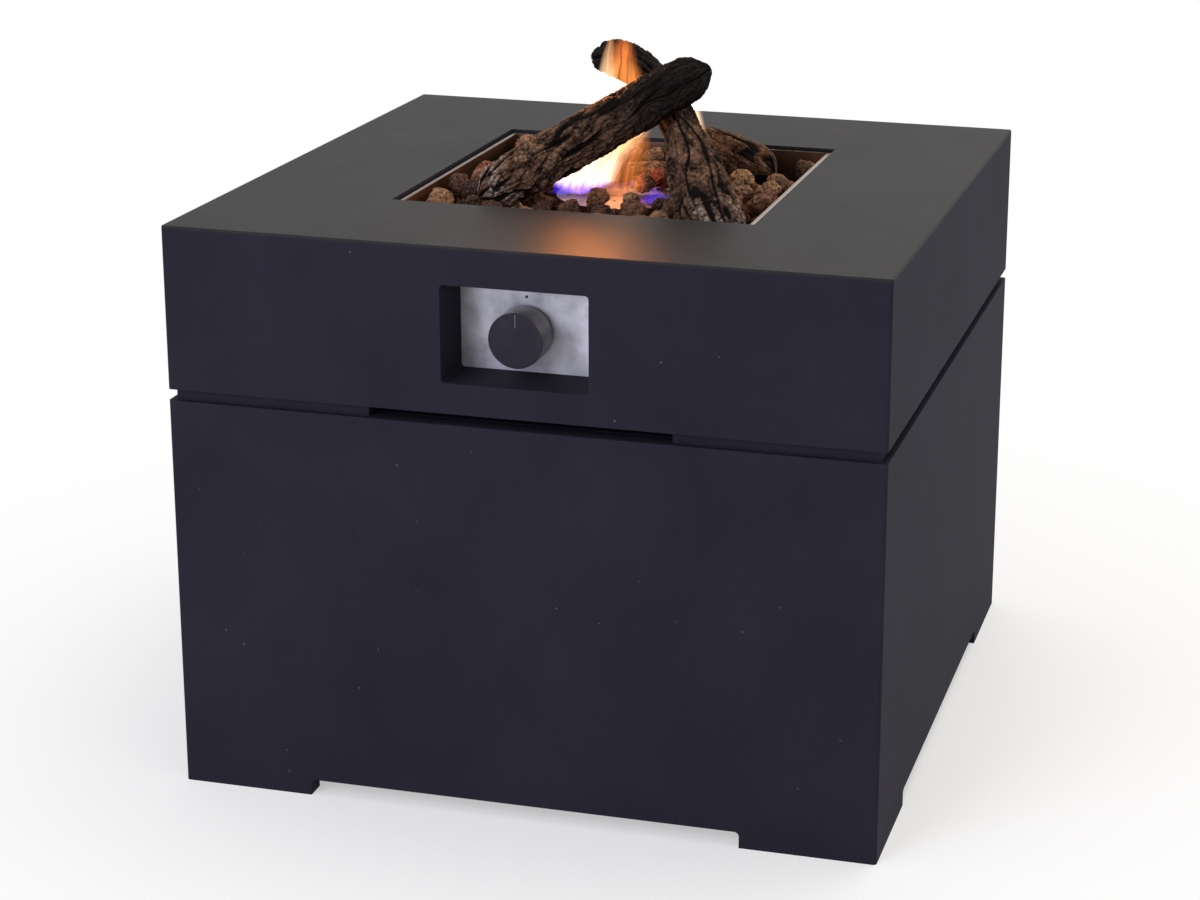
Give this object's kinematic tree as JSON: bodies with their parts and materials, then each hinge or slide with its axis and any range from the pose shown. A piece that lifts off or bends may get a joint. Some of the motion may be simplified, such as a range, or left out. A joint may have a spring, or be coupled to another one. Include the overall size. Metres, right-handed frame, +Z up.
{
  "type": "gas fire pit",
  "caption": "Square fibre-concrete gas fire pit on corner feet, with a stainless burner tray, ceramic logs, lava stones and a push-and-turn gas knob in a front recess.",
  "frame": {"origin": "middle of the footprint, on the ground", "axes": "+Z up; -Y is the front with the knob; +X is to the right seen from the front"},
  "size_m": [0.6, 0.6, 0.6082],
  "materials": {
    "concrete": "matt",
    "stainless": "brushed",
    "zinc_steel": "zinc plated",
    "brass": "turned",
    "valve_aluminium": "die-cast",
    "knob_black": "satin",
    "black_plastic": "moulded",
    "silicone": "matt",
    "white_ceramic": "glazed",
    "copper": "drawn",
    "log_ceramic": "bark texture, charred",
    "lava": "porous"
  },
  "bodies": {
    "casing": {"base_casing": "concrete", "top_casing": "concrete", "slab_inserts": "brass", "burner_tray": "stainless", "tray_rail_left": "zinc_steel", "tray_rail_right": "zinc_steel", "rail_screws": "zinc_steel", "control_plate": "stainless", "plate_screws": "zinc_steel", "return_spring": "zinc_steel", "bonnet_cap": "brass", "valve_lock_nut": "brass", "gas_valve_body": "valve_aluminium", "piezo_bracket": "zinc_steel", "piezo_igniter": "black_plastic", "piezo_screws": "zinc_steel", "ignition_lead": "silicone", "electrode_ceramic": "white_ceramic", "electrode_tip": "zinc_steel", "thermocouple_probe": "stainless", "thermocouple_lead": "copper", "thermocouple_nut": "brass", "pilot_bracket": "stainless", "bracket_screws": "zinc_steel", "bracket_nuts": "zinc_steel", "inlet_union_nut": "brass", "inlet_hose_tail": "brass", "outlet_nut": "brass", "outlet_tube": "valve_aluminium", "elbow_nut": "brass", "injector_elbow": "brass", "injector_jet": "brass", "air_mixer": "zinc_steel", "burner_nipple": "zinc_steel", "burner_lock_nut": "zinc_steel", "burner_top_nut": "zinc_steel", "burner_pan": "stainless", "burner_cover": "stainless", "log_front": "log_ceramic", "log_standing": "log_ceramic", "log_crossing": "log_ceramic", "log_chunk": "log_ceramic", "log_rear": "log_ceramic", "lava_stones_lower": "lava", "lava_stones_upper": "lava"},
    "push_body": {"push_collar": "brass"},
    "knob": {"gas_knob": "knob_black", "knob_clip": "zinc_steel", "valve_spindle": "brass"}
  },
  "joints": [
    {"name": "knob_push", "type": "slide", "parent": "casing", "child": "push_body", "axis": [0, 1, 0], "range_m": [0, 0.004], "stiffness_N_per_m": 1500, "springref_m": -0.001, "deforming": ["return_spring"]},
    {"name": "knob_turn", "type": "hinge", "parent": "push_body", "child": "knob", "pos_m": [-0.007, -0.268, 0.4075], "axis": [0, -1, 0], "range_deg": [0, 180]}
  ]
}
